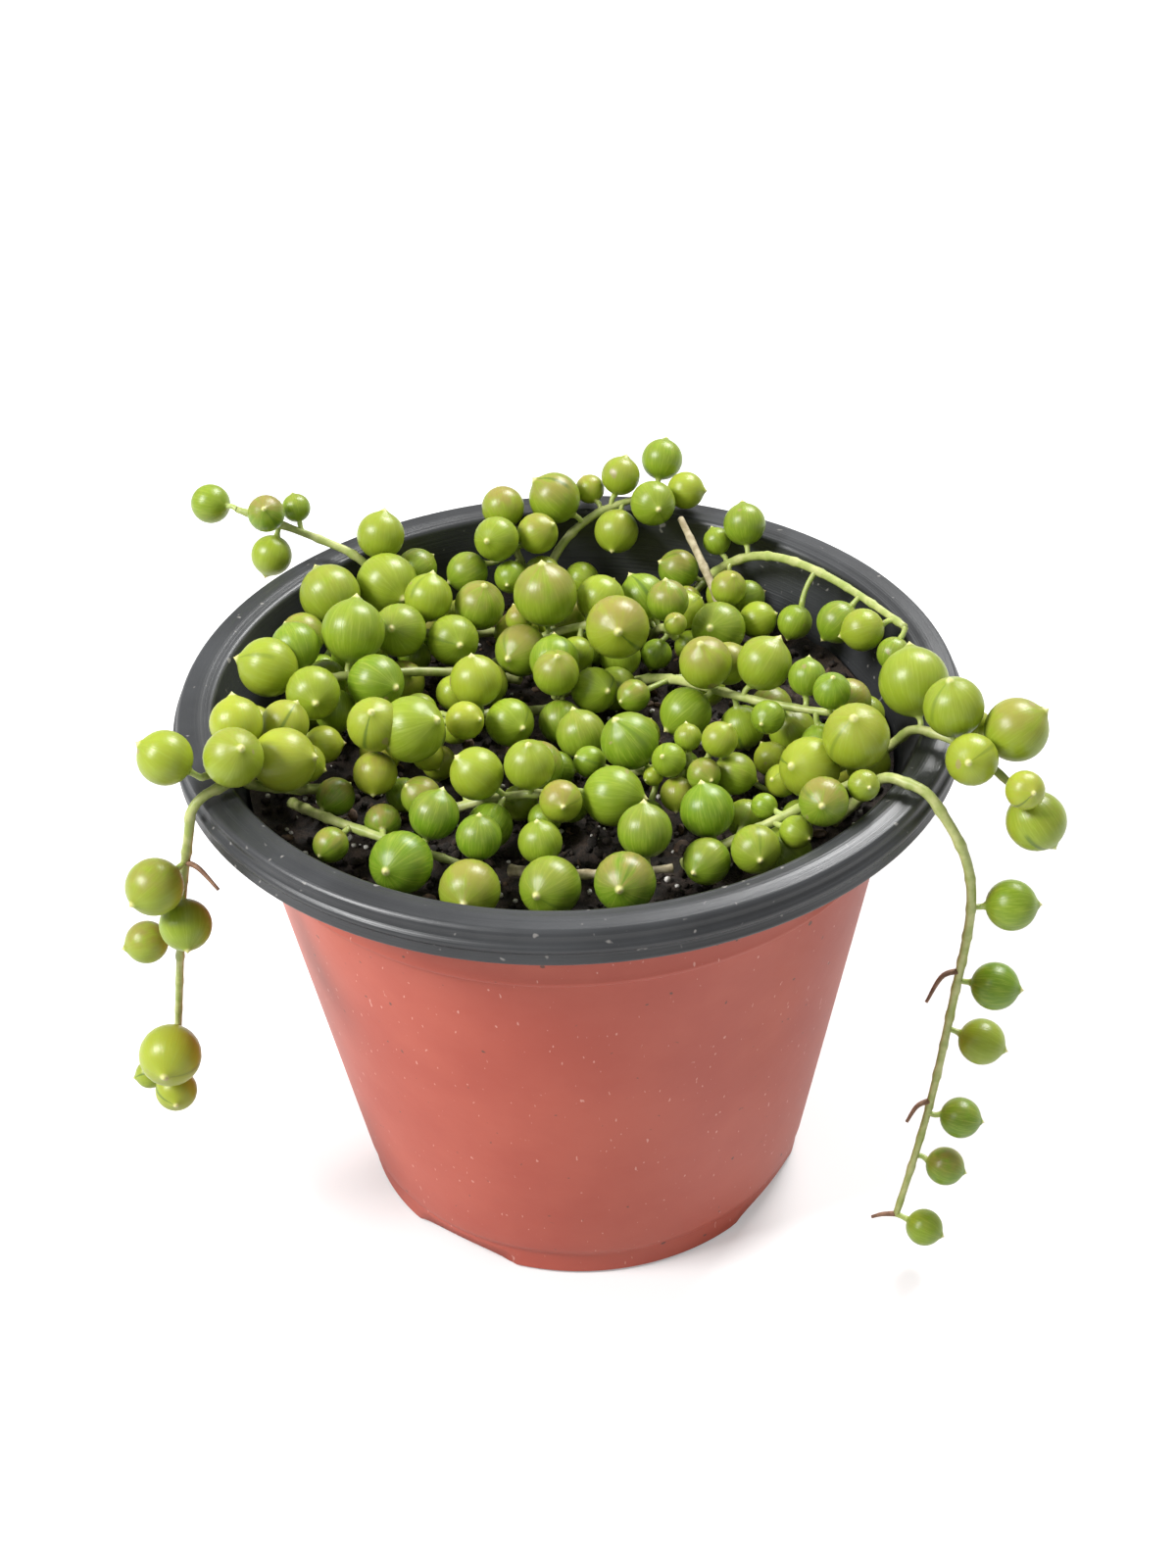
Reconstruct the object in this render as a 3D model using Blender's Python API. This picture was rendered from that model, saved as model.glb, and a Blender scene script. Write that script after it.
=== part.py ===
"""Potted string of pearls (Curio rowleyanus) in a thin two-colour nursery pot.

Strands grow out of the potting soil, lie over one another and over the rim, and two of them trail
down beside the pot. Each strand is one grown piece: its stem with its pearl-shaped leaves.
Lengths are millimetres here and become metres when a mesh is made. Z is up; the pot stands on Z = 0.
"""
import math

import bmesh
import bpy
import numpy as np
from mathutils import Vector

MM = 0.001

# Driving dimensions of the pot
POT_HEIGHT = 80.0
RIM_RADIUS = 52.5
RIM_BAND = 5.0
LIP_DROP = 4.6
WALL = 1.1
STEP_Z = 64.7
STEP_RADIUS = 43.9
SHOULDER = 0.8
FOOT_Z = 4.7
FOOT_RADIUS = 33.6
FOOT_RING = 1.6
BASE_RISE = 1.5
BASE_DISC_RADIUS = 11.0
POT_SEGMENTS = 40
DRAIN_HOLES = 6
DRAIN_RADIUS = 3.2
DRAIN_CIRCLE = 20.0
DRAIN_TURN = 0.031
NOTCHES = 4
NOTCH_WIDTH = 17.0
NOTCH_HEIGHT = 2.2
NOTCH_TURN = math.radians(-124.3)
NOTCH_CIRCLE = 33.13
NOTCH_SINK = 0.37
NOTCH_REACH = 4.4

# Soil
SOIL_TOP = 69.0
SOIL_CLEARANCE = 0.5
SOIL_SEGMENTS = 30

# Strands
STEM_RADIUS = 0.85
STALK_RADIUS = 0.5
STEM_SIDES = 6
PEARL_SIDES = 6
SAMPLE = 2.0
GAP = 0.42
ROOT_LIFT = 1.15
STALK_LENGTH = 0.9
SETTLE_ROUNDS = 260

# Each strand: the points its stem follows, root first, and its pearls as x, y, z and diameter.
STRANDS = {
    "strand_back_left": (
        [(-19, 30, 70), (-26, 36, 77), (-31, 35, 81), (-34, 37, 83), (-37, 38, 84), (-40, 36, 85),
         (-45, 37, 86), (-48, 40, 86)],
        [(-50, 41, 86, 5.8), (-43, 34, 89, 5.4), (-40, 41, 87, 4.2), (-42, 36, 82, 6.0),
         (-28, 40, 80, 7.0), (-25, 30, 81, 9.0), (-21, 40, 77, 6.0)]),
    "strand_left_upper": (
        [(-7, 16, 70), (-16, 14, 76), (-22, 10, 77), (-29, 5, 78), (-35, 3, 80)],
        [(-36, 8, 84, 6.7), (-29, 7, 84, 8.7), (-39, -3, 83, 8.1), (-35, -8, 82, 7.3),
         (-29, -3, 80, 5.9), (-33, 7, 77, 6.0), (-21, -8, 83, 7.7), (-23, 13, 75, 6.2)]),
    "strand_left_back": (
        [(-9, 29, 70), (-14, 19, 76), (-21, 18, 77), (-27, 20, 77), (-33, 20, 77)],
        [(-22, 12, 83, 7.6), (-19, 19, 80, 6.9), (-13, 12, 83, 7.3), (-11, 24, 77, 7.2),
         (-31, 24, 79, 8.7), (-37, 20, 79, 6.3)]),
    "strand_left_middle": (
        [(-3, 8, 70), (-9, 0, 75), (-16, 0, 77), (-22, -7, 78), (-25, -11, 79)],
        [(-25, -14, 84, 7.1), (-15, -5, 78, 5.2), (-10, -2, 81, 7.1), (-6, -10, 83, 6.6),
         (-17, -18, 83, 8.7), (-22, -19, 78, 5.8)]),
    "strand_left_rim": (
        [(-32, 5, 70), (-37, -7, 76), (-40, -16, 80), (-43, -21, 83), (-45, -24, 84)],
        [(-42, -15, 85, 6.9), (-40, -9, 80, 5.8), (-47, -24, 85, 7.0), (-40, -23, 83, 7.6),
         (-35, -14, 80, 6.3), (-27, -10, 77, 5.1), (-30, -23, 81, 8.3), (-34, -13, 74, 5.2)]),
    "strand_left_trail": (
        [(-33, -9, 70), (-39, -18, 77), (-42, -25, 82), (-46, -29, 83), (-49, -29, 79),
         (-50, -27, 72), (-51, -24, 65), (-53, -21, 55), (-54, -19, 46), (-56, -18, 39),
         (-57, -19, 30)],
        [(-53, -30, 71, 7.4), (-50, -29, 64, 6.8), (-57, -24, 57, 5.7), (-56, -24, 38, 8.5),
         (-57, -22, 30, 5.8), (-62, -21, 30, 4.1)]),
    "strand_front_left": (
        [(-37, -12, 70), (-37, -18, 77), (-34, -24, 77), (-25, -25, 74), (-17, -28, 73),
         (-12, -30, 72)],
        [(-24, -19, 73, 4.8), (-22, -34, 76, 8.0), (-17, -25, 78, 6.4), (-12, -32, 79, 5.8),
         (-13, -37, 75, 7.7), (-31, -27, 74, 4.6)]),
    "strand_front_middle": (
        [(-20, -17, 71), (-16, -18, 75), (-12, -18, 78), (-5, -20, 78), (0, -21, 77)],
        [(-10, -21, 82, 6.9), (-11, -23, 75, 6.0), (-6, -22, 85, 6.5), (-1, -27, 83, 5.5),
         (3, -23, 78, 7.8), (-3, -12, 80, 6.6)]),
    "strand_front_low": (
        [(-8, -28, 70), (-3, -34, 73), (3, -35, 73), (10, -36, 74), (13, -35, 75)],
        [(-4, -30, 76, 5.6), (-5, -40, 76, 7.7), (6, -40, 77, 7.6), (9, -33, 78, 6.8)]),
    "strand_front_right": (
        [(14, -28, 70), (17, -33, 75), (20, -33, 77), (27, -29, 79), (33, -27, 80), (37, -26, 82)],
        [(17, -38, 76, 6.0), (23, -36, 76, 6.2), (24, -31, 75, 6.6), (28, -35, 76, 4.2),
         (32, -31, 79, 6.2), (17, -27, 78, 6.9), (23, -24, 77, 3.4), (36, -30, 83, 4.0)]),
    "strand_centre": (
        [(-11, 20, 70), (-7, 20, 77), (-2, 19, 80), (3, 17, 81), (7, 15, 80)],
        [(-6, 14, 77, 7.4), (-7, 27, 79, 4.0), (-13, 33, 79, 6.6), (-3, 25, 83, 9.0),
         (-1, 36, 78, 7.2), (5, 25, 80, 6.9), (7, 6, 84, 8.8)]),
    "strand_centre_right": (
        [(8, 14, 70), (12, 10, 76), (16, 2, 79), (23, -7, 79), (30, -11, 80), (34, -11, 81)],
        [(18, -2, 85, 7.1), (24, 5, 80, 5.9), (26, -3, 83, 7.3), (14, -5, 76, 7.0),
         (31, -7, 83, 5.0), (34, -12, 85, 4.9), (38, -6, 80, 6.0), (24, -15, 82, 4.5),
         (33, -12, 76, 5.6)]),
    "strand_centre_low": (
        [(2, 16, 70), (6, 12, 73), (8, 8, 74), (3, 5, 74), (-2, 4, 75)],
        [(0, 2, 79, 6.3), (7, 2, 75, 6.4), (-2, 8, 78, 6.9), (2, -4, 74, 6.0),
         (13, 10, 76, 6.2)]),
    "strand_centre_back": (
        [(12, 27, 70), (14, 26, 75), (15, 22, 79), (15, 16, 80), (15, 12, 79)],
        [(15, 10, 83, 3.2), (14, 16, 84, 5.9), (12, 29, 82, 6.8), (19, 25, 79, 5.6),
         (8, 33, 76, 6.0)]),
    "strand_middle_small": (
        [(3, -8, 70), (7, -14, 75), (13, -19, 77), (17, -17, 78)],
        [(8, -15, 81, 7.6), (8, -23, 82, 2.6), (12, -22, 81, 4.5), (16, -23, 82, 4.4),
         (14, -17, 82, 3.6), (19, -18, 82, 4.7), (12, -24, 76, 4.6), (23, -18, 76, 5.6)]),
    "strand_back_rim": (
        [(-4, 38, 70), (-3, 43, 79), (0, 45, 82), (4, 46, 83), (10, 46, 83), (14, 47, 83)],
        [(-2, 51, 85, 7.7), (3, 50, 84, 4.4), (7, 51, 85, 5.8), (15, 50, 86, 6.2),
         (8, 40, 80, 6.6), (14, 38, 82, 6.7), (15, 44, 79, 5.6)]),
    "strand_back_middle": (
        [(-5, 40, 70), (-6, 39, 77), (-8, 40, 80)],
        [(-9, 44, 82, 6.4), (-9, 34, 83, 6.6), (-4, 38, 82, 6.1), (1, 42, 76, 5.6)]),
    "strand_back_right": (
        [(19, 38, 70), (22, 40, 78), (28, 34, 82), (33, 27, 83), (38, 20, 83), (43, 13, 83),
         (46, 6, 83)],
        [(22, 42, 83, 4.1), (26, 38, 84, 6.2), (17, 37, 75, 6.0), (24, 35, 76, 6.4),
         (38, 13, 80, 6.0), (41, 6, 81, 5.9), (40, 1, 77, 4.6)]),
    "strand_old_stem": (
        [(25, 18, 70), (24, 22, 75), (21, 29, 79), (18, 36, 81), (17, 40, 82)],
        [(21, 17, 80, 7.7), (27, 25, 80, 5.1), (31, 26, 79, 5.1), (29, 19, 79, 5.4),
         (29, 13, 77, 5.6)]),
    "strand_right": (
        [(27, -13, 70), (32, -17, 76), (37, -19, 79)],
        [(27, -24, 82, 7.9), (36, -22, 85, 8.5), (40, -14, 76, 6.0)]),
    "strand_right_rim": (
        [(38, -10, 71), (42, -12, 78), (45, -15, 84), (47, -17, 86), (50, -19, 86), (52, -23, 86),
         (54, -25, 83), (55, -27, 80)],
        [(44, -8, 88, 9.1), (53, -17, 90, 7.7), (55, -11, 91, 2.4), (57, -12, 93, 3.7),
         (57, -21, 88, 8.1), (56, -31, 82, 4.9), (49, -27, 87, 6.6), (58, -29, 76, 7.6)]),
    "strand_right_trail": (
        [(34, -20, 70), (37, -25, 78), (41, -28, 83), (45, -31, 84), (48, -33, 82), (51, -34, 75),
         (52, -32, 68), (51, -30, 59), (50, -27, 50), (50, -26, 38), (49, -25, 25), (47, -27, 15),
         (44, -30, 7)],
        [(56, -31, 64, 6.6), (54, -29, 49, 6.4), (54, -28, 38, 6.3), (52, -27, 23, 5.7),
         (51, -29, 15, 5.4), (48, -32, 6, 5.2)]),
}

COLOURS = {
    "pot": (0.47, 0.13, 0.095, 1.0),
    "soil": (0.018, 0.012, 0.009, 1.0),
    "leaf": (0.25, 0.36, 0.04, 1.0),
}


def clear_scene():
    for thing in list(bpy.data.objects):
        bpy.data.objects.remove(thing, do_unlink=True)


def material(name, colour, roughness):
    made = bpy.data.materials.new(name)
    made.use_nodes = True
    shader = made.node_tree.nodes["Principled BSDF"]
    shader.inputs["Base Color"].default_value = colour
    shader.inputs["Roughness"].default_value = roughness
    shader.inputs["Metallic"].default_value = 0.0
    made.diffuse_color = colour
    return made


def add_object(name, vertices, faces, surface):
    """A smooth-shaded object from millimetre vertices, faces turned outward."""
    mesh = bpy.data.meshes.new(name)
    mesh.from_pydata([tuple(c * MM for c in v) for v in vertices], [], faces)
    shape = bmesh.new()
    shape.from_mesh(mesh)
    bmesh.ops.recalc_face_normals(shape, faces=shape.faces)
    shape.to_mesh(mesh)
    shape.free()
    mesh.shade_smooth()
    mesh.set_sharp_from_angle(angle=math.radians(40))
    made = bpy.data.objects.new(name, mesh)
    bpy.context.scene.collection.objects.link(made)
    if surface:
        mesh.materials.append(surface)
    return made


def lathe(profile, segments):
    """Closed turned solid from (radius, height) points; the first and last lie on the axis."""
    vertices = [(0.0, 0.0, profile[0][1])]
    rings = profile[1:-1]
    for radius, height in rings:
        for k in range(segments):
            angle = math.tau * k / segments
            vertices.append((radius * math.cos(angle), radius * math.sin(angle), height))
    vertices.append((0.0, 0.0, profile[-1][1]))
    last = len(vertices) - 1
    faces = []
    for k in range(segments):
        after = (k + 1) % segments
        faces.append((0, 1 + k, 1 + after))
        for ring in range(len(rings) - 1):
            low = 1 + ring * segments
            high = low + segments
            faces.append((low + k, high + k, high + after, low + after))
        top = 1 + (len(rings) - 1) * segments
        faces.append((last, top + after, top + k))
    return vertices, faces


def outer_radius(z):
    """Outside of the pot's tapered wall, between its two step lines."""
    return FOOT_RADIUS + (STEP_RADIUS - FOOT_RADIUS) * (z - FOOT_Z) / (STEP_Z - FOOT_Z)


def inner_radius(z):
    return outer_radius(z) - WALL


def pot_profile():
    rim_inner = RIM_RADIUS - RIM_BAND
    top = POT_HEIGHT
    neck = STEP_RADIUS + SHOULDER
    foot = FOOT_RADIUS - SHOULDER
    outside = [
        (0.0, 0.0), (BASE_DISC_RADIUS, 0.0), (BASE_DISC_RADIUS + 1.0, BASE_RISE),
        (foot - FOOT_RING - 0.6, BASE_RISE), (foot - FOOT_RING, 0.0), (foot - 0.4, 0.0),
        (foot, 0.6), (foot, FOOT_Z - 0.8), (FOOT_RADIUS, FOOT_Z),
        (outer_radius(35.0), 35.0), (STEP_RADIUS, STEP_Z), (neck, STEP_Z + 1.0),
        (rim_inner + 0.6, top - 3.0), (RIM_RADIUS - 1.4, top - 3.2),
        (RIM_RADIUS - 0.8, top - LIP_DROP), (RIM_RADIUS + 0.2, top - LIP_DROP - 0.2),
        (RIM_RADIUS + 0.6, top - 3.0), (RIM_RADIUS + 0.1, top - 0.9), (RIM_RADIUS - 0.9, top - 0.15),
    ]
    inside = [
        (RIM_RADIUS - 2.0, top), (rim_inner + 0.7, top - 0.3), (rim_inner, top - 1.2),
        (neck - WALL + 0.2, STEP_Z + 0.6), (STEP_RADIUS - WALL, STEP_Z - 0.6),
        (inner_radius(35.0), 35.0), (inner_radius(FOOT_Z), FOOT_Z), (foot - WALL, FOOT_Z - 1.2),
        (foot - WALL - 0.5, BASE_RISE + WALL), (BASE_DISC_RADIUS + 0.6, BASE_RISE + WALL),
        (BASE_DISC_RADIUS - 0.4, WALL), (0.0, WALL),
    ]
    return outside + inside


def cut(target, cutter):
    cutter.hide_render = True
    cutter.display_type = "WIRE"
    boolean = target.modifiers.new(cutter.name, "BOOLEAN")
    boolean.operation = "DIFFERENCE"
    boolean.solver = "EXACT"
    boolean.object = cutter


def make_pot():
    vertices, faces = lathe(pot_profile(), POT_SEGMENTS)
    pot = add_object("pot", vertices, faces, material("pot_plastic", COLOURS["pot"], 0.45))
    for k in range(DRAIN_HOLES):
        angle = math.tau * (k + 0.5) / DRAIN_HOLES + DRAIN_TURN
        bpy.ops.mesh.primitive_cylinder_add(
            vertices=16, radius=DRAIN_RADIUS * MM, depth=12 * MM,
            location=(DRAIN_CIRCLE * math.cos(angle) * MM, DRAIN_CIRCLE * math.sin(angle) * MM, 0),
            rotation=(0, 0, angle + DRAIN_TURN))
        cutter = bpy.context.object
        cutter.name = f"drain_cutter_{k}"
        cut(pot, cutter)
    for k in range(NOTCHES):
        angle = NOTCH_TURN + math.tau * k / NOTCHES
        bpy.ops.mesh.primitive_cylinder_add(
            vertices=24, radius=1.0, depth=NOTCH_REACH * MM,
            location=(NOTCH_CIRCLE * math.cos(angle) * MM, NOTCH_CIRCLE * math.sin(angle) * MM,
                      -NOTCH_SINK * MM),
            rotation=(math.pi / 2, 0, angle + math.pi / 2))
        cutter = bpy.context.object
        cutter.name = f"notch_cutter_{k}"
        cutter.scale = (NOTCH_WIDTH / 2 * MM, (NOTCH_HEIGHT + NOTCH_SINK) * MM, 1.0)
        cut(pot, cutter)


def make_soil():
    low = BASE_RISE + WALL + SOIL_CLEARANCE
    foot = FOOT_RADIUS - SHOULDER - WALL - SOIL_CLEARANCE
    clear = SOIL_CLEARANCE
    profile = [
        (0.0, low), (foot - 0.8, low), (foot - 0.3, FOOT_Z - 1.2), (inner_radius(FOOT_Z) - clear, FOOT_Z + 0.3),
        (inner_radius(35.0) - clear, 35.0), (STEP_RADIUS - WALL - clear, STEP_Z - 0.2),
        (STEP_RADIUS - WALL - clear + 0.3, SOIL_TOP - 1.0), (STEP_RADIUS - WALL - 1.0, SOIL_TOP),
        (0.0, SOIL_TOP),
    ]
    vertices, faces = lathe(profile, SOIL_SEGMENTS)
    add_object("potting_soil", vertices, faces, material("soil_mix", COLOURS["soil"], 0.95))


def smooth_route(points, spacing):
    """Even samples along a Catmull-Rom curve through the points."""
    ctrl = np.array([points[0]] + list(points) + [points[-1]], float)
    dense = []
    for k in range(1, len(ctrl) - 2):
        a, b, c, d = ctrl[k - 1:k + 3]
        for t in np.linspace(0, 1, 12, endpoint=False):
            dense.append(0.5 * (2 * b + (c - a) * t + (2 * a - 5 * b + 4 * c - d) * t * t
                                + (3 * b - a - 3 * c + d) * t ** 3))
    dense.append(ctrl[-1])
    dense = np.array(dense)
    steps = np.linalg.norm(np.diff(dense, axis=0), axis=1)
    run = np.concatenate([[0], np.cumsum(steps)])
    count = max(3, int(round(run[-1] / spacing)) + 1)
    even = np.linspace(0, run[-1], count)
    return np.stack([np.interp(even, run, dense[:, k]) for k in range(3)], axis=1)


def pot_walls():
    """The pot's section as thick lines: ends as (radius, height) and half thickness."""
    rim_inner = RIM_RADIUS - RIM_BAND
    return [
        ((FOOT_RADIUS - 1.3, 0.5), (FOOT_RADIUS - 0.5, FOOT_Z), 0.8),
        ((FOOT_RADIUS - 0.5, FOOT_Z), (STEP_RADIUS - 0.5, STEP_Z), 0.65),
        ((STEP_RADIUS - 0.2, STEP_Z), (rim_inner + 0.4, POT_HEIGHT - 2.2), 1.1),
        ((rim_inner + 1.0, POT_HEIGHT - 1.6), (RIM_RADIUS - 1.2, POT_HEIGHT - 1.6), 1.75),
        ((RIM_RADIUS - 0.4, POT_HEIGHT - 1.4), (RIM_RADIUS - 0.2, POT_HEIGHT - LIP_DROP + 0.6), 1.1),
    ]


def keep_off_pot(centres, radii):
    for start, end, thick in pot_walls():
        start = np.array(start)
        along = np.array(end) - start
        flat = np.hypot(centres[:, 0], centres[:, 1])
        here = np.stack([flat, centres[:, 2]], axis=1)
        t = np.clip(((here - start) @ along) / (along @ along), 0, 1)
        away = here - (start + t[:, None] * along)
        distance = np.maximum(np.linalg.norm(away, axis=1), 1e-6)
        push = np.maximum(radii + thick + GAP - distance, 0)
        move = away / distance[:, None] * push[:, None]
        centres[:, 0] += move[:, 0] * centres[:, 0] / flat
        centres[:, 1] += move[:, 0] * centres[:, 1] / flat
        centres[:, 2] += move[:, 1]


def settle():
    """Moves stems and pearls just far enough apart that no strand touches another, pot or soil."""
    centres, radii, owner, kind, anchor = [], [], [], [], []
    spans = []
    for number, (route, pearls) in enumerate(STRANDS.values()):
        samples = smooth_route(route, SAMPLE)
        first = len(centres)
        centres += list(samples)
        radii += [STEM_RADIUS] * len(samples)
        owner += [number] * len(samples)
        kind += [0] * len(samples)
        anchor += [-1] * len(samples)
        spans.append((first, first + len(samples)))
        for x, y, z, width in pearls:
            place = np.array([x, y, z], float)
            near = int(np.argmin(np.linalg.norm(samples[1:] - place, axis=1))) + 1
            centres.append(place)
            radii.append(width / 2)
            owner.append(number)
            kind.append(1)
            anchor.append(first + near)
    centres = np.array(centres)
    radii = np.array(radii)
    owner = np.array(owner)
    kind = np.array(kind)
    anchor = np.array(anchor)
    home = centres.copy()
    pearl = np.flatnonzero(kind == 1)
    index = np.arange(len(centres))
    same = owner[:, None] == owner[None, :]
    both_stem = (kind[:, None] == 0) & (kind[None, :] == 0)
    skip = (same & both_stem) | (index[:, None] == index[None, :])
    for p in pearl:
        near = np.abs(index - anchor[p]) <= 1
        skip[p, near] = True
        skip[near, p] = True
    reach = radii[:, None] + radii[None, :] + GAP
    reach[skip] = 0.0
    for turn in range(SETTLE_ROUNDS):
        if turn < SETTLE_ROUNDS // 2:
            centres += 0.04 * (home - centres)
        gap = centres[:, None, :] - centres[None, :, :]
        distance = np.maximum(np.linalg.norm(gap, axis=2), 1e-6)
        push = np.maximum(reach - distance, 0) * 0.5
        centres += np.clip((gap / distance[:, :, None] * push[:, :, None]).sum(axis=1), -0.8, 0.8)
        pull = centres[pearl] - centres[anchor[pearl]]
        length = np.maximum(np.linalg.norm(pull, axis=1), 1e-6)
        wanted = radii[pearl] + STALK_LENGTH + STEM_RADIUS
        change = (pull / length[:, None]) * (np.clip(wanted - length, -1.0, 1.0) * 0.3)[:, None]
        centres[pearl] += change
        for first, last in spans:
            middle = 0.5 * (centres[first:last - 2] + centres[first + 2:last])
            centres[first + 1:last - 1] += 0.25 * (middle - centres[first + 1:last - 1])
            centres[first, 2] = SOIL_TOP + ROOT_LIFT
        keep_off_pot(centres, radii)
        inside = np.hypot(centres[:, 0], centres[:, 1]) < STEP_RADIUS
        lowest = np.where(inside, SOIL_TOP, 0.3) + radii + 0.3
        centres[:, 2] = np.maximum(centres[:, 2], lowest)
    settled = {}
    at = 0
    for number, name in enumerate(STRANDS):
        first, last = spans[number]
        count = len(STRANDS[name][1])
        leaves = [(centres[last + k], float(radii[last + k]), anchor[last + k] - first)
                  for k in range(count)]
        settled[name] = (centres[first:last], leaves)
    return settled


def ring(centre, axis, radius, sides):
    """Points of a circle about an axis, in millimetres."""
    axis = Vector(axis).normalized()
    side = axis.orthogonal().normalized()
    other = axis.cross(side)
    made = []
    for k in range(sides):
        angle = math.tau * k / sides
        made.append(Vector(centre) + radius * (math.cos(angle) * side + math.sin(angle) * other))
    return made


def swept(rings, tip=None):
    """Closed skin over rings of equal count, capped flat or drawn to a tip at the far end."""
    sides = len(rings[0])
    vertices = [point for one in rings for point in one]
    faces = [tuple(reversed(range(sides)))]
    for row in range(len(rings) - 1):
        low = row * sides
        high = low + sides
        for k in range(sides):
            after = (k + 1) % sides
            faces.append((low + k, low + after, high + after, high + k))
    top = (len(rings) - 1) * sides
    if tip is None:
        faces.append(tuple(top + k for k in range(sides)))
    else:
        vertices.append(tip)
        for k in range(sides):
            faces.append((top + k, top + (k + 1) % sides, len(vertices) - 1))
    return vertices, faces


def stem_shape(points):
    """A tapering stem with parallel-carried rings."""
    keep = points[::2] if len(points) % 2 else np.vstack([points[:-1:2], points[-1:]])
    rings = []
    side = None
    for k, point in enumerate(keep):
        ahead = keep[min(k + 1, len(keep) - 1)] - keep[max(k - 1, 0)]
        axis = Vector(ahead).normalized()
        side = axis.orthogonal() if side is None else side - axis * side.dot(axis)
        side.normalize()
        other = axis.cross(side)
        width = STEM_RADIUS * (1.0 - 0.3 * k / len(keep))
        rings.append([Vector(point) + width * (math.cos(a) * side + math.sin(a) * other)
                      for a in (math.tau * s / STEM_SIDES for s in range(STEM_SIDES))])
    return swept(rings)


def pearl_shape(seat, centre, radius):
    """A pearl leaf: a short stalk from the stem, a round body and a small point."""
    axis = Vector(centre - seat).normalized()
    centre = Vector(centre)
    rings = [ring(seat, axis, STALK_RADIUS, PEARL_SIDES)]
    rings.append(ring(centre - axis * radius * 0.99, axis, STALK_RADIUS, PEARL_SIDES))
    for latitude in (-55, -20, 15, 50):
        angle = math.radians(latitude)
        rings.append(ring(centre + axis * radius * math.sin(angle), axis, radius * math.cos(angle),
                          PEARL_SIDES))
    return swept(rings, centre + axis * radius * 1.08)


def make_strand(name, points, leaves, surface):
    vertices, faces = stem_shape(points)
    strand = add_object(name, vertices, faces, surface)
    vertices, faces = [], []
    for centre, radius, near in leaves:
        body, skin = pearl_shape(points[near], centre, radius)
        faces += [tuple(k + len(vertices) for k in face) for face in skin]
        vertices += body
    cutter = add_object(name + "_leaves", vertices, faces, None)
    cutter.hide_render = True
    cutter.display_type = "WIRE"
    union = strand.modifiers.new("leaves", "BOOLEAN")
    union.operation = "UNION"
    union.solver = "EXACT"
    union.use_self = True
    union.object = cutter


def main():
    clear_scene()
    make_pot()
    make_soil()
    for name, (points, leaves) in settle().items():
        leaf = material(name + "_leaf", COLOURS["leaf"], 0.4)
        make_strand(name, points, leaves, leaf)


main()
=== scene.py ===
"""Potted string of pearls: the finished look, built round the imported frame."""

import math
import random

import bpy
import numpy as np
from mathutils import Matrix, Vector


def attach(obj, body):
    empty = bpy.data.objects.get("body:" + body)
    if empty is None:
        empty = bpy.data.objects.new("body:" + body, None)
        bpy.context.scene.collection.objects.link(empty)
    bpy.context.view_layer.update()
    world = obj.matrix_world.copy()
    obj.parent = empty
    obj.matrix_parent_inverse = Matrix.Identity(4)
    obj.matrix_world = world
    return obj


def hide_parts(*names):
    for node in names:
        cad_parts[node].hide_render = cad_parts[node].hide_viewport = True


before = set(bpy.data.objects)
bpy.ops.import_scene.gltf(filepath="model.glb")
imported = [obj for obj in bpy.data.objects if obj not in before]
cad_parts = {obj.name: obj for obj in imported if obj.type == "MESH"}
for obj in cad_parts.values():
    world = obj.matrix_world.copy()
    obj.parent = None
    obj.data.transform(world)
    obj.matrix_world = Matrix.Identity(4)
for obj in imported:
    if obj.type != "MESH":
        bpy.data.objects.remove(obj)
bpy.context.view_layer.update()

MM = 0.001

# Driving dimensions of the pot
POT_HEIGHT = 80.0
RIM_RADIUS = 52.5
RIM_BAND = 5.0
LIP_DROP = 4.6
WALL = 1.1
STEP_Z = 64.7
STEP_RADIUS = 43.9
SHOULDER = 0.8
FOOT_Z = 4.7
FOOT_RADIUS = 33.6
FOOT_RING = 1.6
BASE_RISE = 1.5
BASE_DISC_RADIUS = 11.0
NOTCHES = 4
NOTCH_WIDTH = 17.0
NOTCH_HEIGHT = 2.2
NOTCH_TURN = math.radians(-124.3)

# Soil
SOIL_TOP = 69.0

# Strands
STEM_RADIUS = 0.85
STALK_RADIUS = 0.5
SAMPLE = 2.0
GAP = 0.42
ROOT_LIFT = 1.15
STALK_LENGTH = 0.9
SETTLE_ROUNDS = 260
CURVE_STEPS = 12
HOME_PULL = 0.04
LONGEST_PUSH = 0.8
STALK_PULL = 0.3
STEM_SMOOTHING = 0.25
SURFACE_GAP = 0.3

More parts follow.
